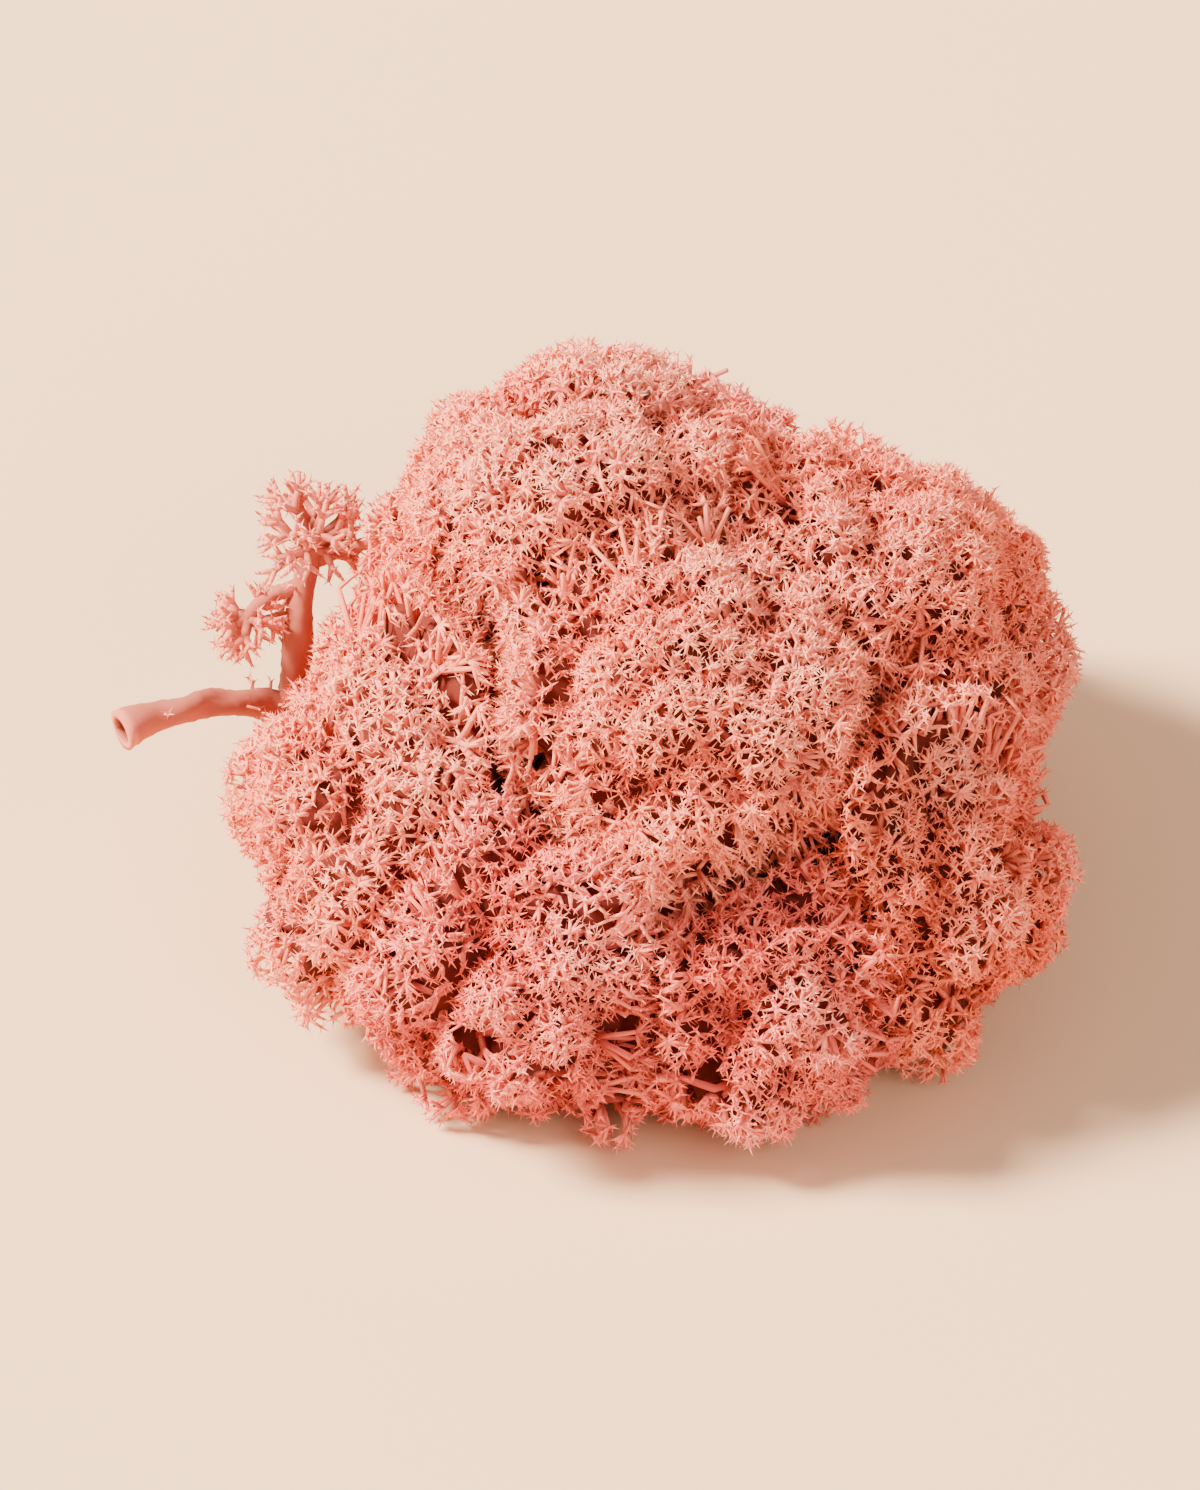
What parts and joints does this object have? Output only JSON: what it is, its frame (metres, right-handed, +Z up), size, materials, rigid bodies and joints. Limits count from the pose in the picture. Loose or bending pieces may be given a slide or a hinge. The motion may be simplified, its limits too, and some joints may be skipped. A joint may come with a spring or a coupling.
{
  "type": "reindeer moss clump",
  "caption": "Dyed, preserved reindeer moss clump: domed crowns of fine forked branchlets on short stems, pressed together, with a bare forked sprig beside them",
  "frame": {"origin": "middle of the clump's footprint, on the surface it rests on", "axes": "+Z up, +Y away from the viewer of the picture, +X to that viewer's right along the clump's longest side"},
  "size_m": [0.0563, 0.0504, 0.0344],
  "materials": {
    "pale_coral_moss": "matt dyed lichen, pale tips over coral",
    "coral_moss": "matt dyed lichen, warmer coral",
    "rose_moss": "matt dyed lichen, pinker",
    "bare_stem": "matt dyed lichen stem, smooth and brownish pink"
  },
  "bodies": {
    "root": {"crown_crest": "pale_coral_moss", "crown_right": "coral_moss", "crown_front": "pale_coral_moss", "crown_left": "pale_coral_moss", "crown_low_right": "coral_moss", "crown_fringe": "rose_moss", "crown_fringe_right": "rose_moss", "crown_back": "rose_moss", "crown_back_right": "coral_moss", "forked_sprig": "bare_stem"}
  },
  "joints": []
}
